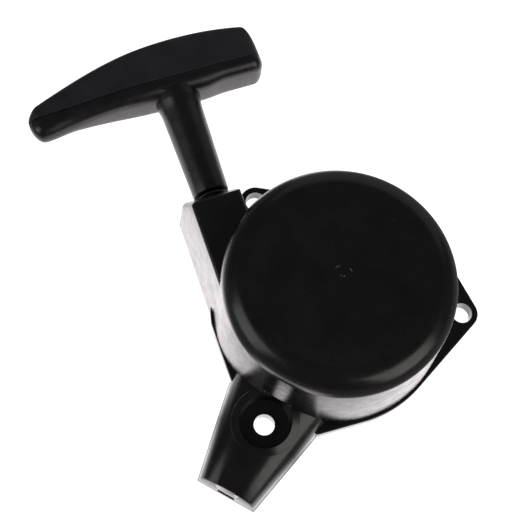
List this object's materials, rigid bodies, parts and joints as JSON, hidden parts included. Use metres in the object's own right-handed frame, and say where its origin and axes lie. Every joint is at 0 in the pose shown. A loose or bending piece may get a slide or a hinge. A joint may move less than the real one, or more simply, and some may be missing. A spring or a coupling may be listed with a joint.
{
  "type": "recoil starter",
  "caption": "Recoil starter for a small engine: domed housing with bolt ears and a hollow leg, rope reel, spiral spring and pawls inside, and a T-shaped pull handle.",
  "frame": {"origin": "on the crank axis, in the plane of the mounting flange", "axes": "+Z away from the engine towards the dome, +Y the way the rope is pulled"},
  "size_m": [0.1354, 0.1753, 0.0447],
  "materials": {
    "housing": "moulded black nylon, semi gloss with fine surface grain",
    "grip_gloss": "moulded black plastic, glossy",
    "grip_satin": "moulded black plastic, satin",
    "cord": "braided nylon cord, black",
    "nylon": "natural nylon, satin",
    "zinc_steel": "zinc plated steel",
    "bright_steel": "polished steel bush",
    "guide_black": "black acetal, satin",
    "spring_steel": "blued spring steel strip and wire",
    "pawl_steel": "sintered hardened steel"
  },
  "bodies": {
    "housing": {"housing": "housing", "rope_guide": "guide_black", "spring_case": "zinc_steel", "spring_cover": "zinc_steel", "centre_screw": "zinc_steel", "thrust_washer": "zinc_steel"},
    "rope_end": {"rope_lead": "cord", "handle_knot": "cord", "knot_washer": "zinc_steel"},
    "handle": {"grip_body": "grip_gloss", "grip_cap": "grip_satin"},
    "reel": {"reel": "nylon", "reel_bush": "bright_steel", "wound_rope": "cord", "reel_knot": "cord", "recoil_spring": "spring_steel", "pawl_pin_1": "zinc_steel", "pawl_pin_2": "zinc_steel", "pawl_spring_1": "spring_steel", "pawl_spring_2": "spring_steel", "friction_spring": "spring_steel"},
    "friction_plate": {"friction_plate": "zinc_steel"},
    "pawl_1": {"pawl_1": "pawl_steel"},
    "pawl_2": {"pawl_2": "pawl_steel"}
  },
  "joints": [
    {"name": "handle_pull", "type": "slide", "parent": "housing", "child": "rope_end", "axis": [0, 1, 0], "range_m": [0, 0.75], "deforming": ["rope_lead"]},
    {"name": "handle_swivel", "type": "hinge", "parent": "rope_end", "child": "handle", "pos_m": [-0.0277, 0.0525, 0.012], "axis": [0, 1, 0], "continuous": true},
    {"name": "reel_spin", "type": "hinge", "parent": "housing", "child": "reel", "pos_m": [0, 0, 0.0155], "axis": [0, 0, -1], "range_deg": [0, 1825], "stiffness_Nm_per_rad": 0.006, "springref_deg": -1088.62, "deforming": ["recoil_spring", "wound_rope"]},
    {"name": "friction_plate_turn", "type": "hinge", "parent": "reel", "child": "friction_plate", "pos_m": [0, 0, 0.0065], "axis": [0, 0, 1], "range_deg": [0, 15], "stiffness_Nm_per_rad": 0.002},
    {"name": "pawl_1_swing", "type": "hinge", "parent": "reel", "child": "pawl_1", "pos_m": [0.01353, 0.00493, 0.0094], "axis": [0, 0, 1], "range_deg": [0, 30], "deforming": ["pawl_spring_1"]},
    {"name": "pawl_2_swing", "type": "hinge", "parent": "reel", "child": "pawl_2", "pos_m": [-0.01353, -0.00493, 0.0094], "axis": [0, 0, 1], "range_deg": [0, 30], "deforming": ["pawl_spring_2"]}
  ],
  "couplings": [
    {"joint": "reel_spin", "follows": "handle_pull", "rad_per_m": 42.37},
    {"joint": "pawl_1_swing", "follows": "friction_plate_turn", "ratio": 2},
    {"joint": "pawl_2_swing", "follows": "friction_plate_turn", "ratio": 2}
  ]
}
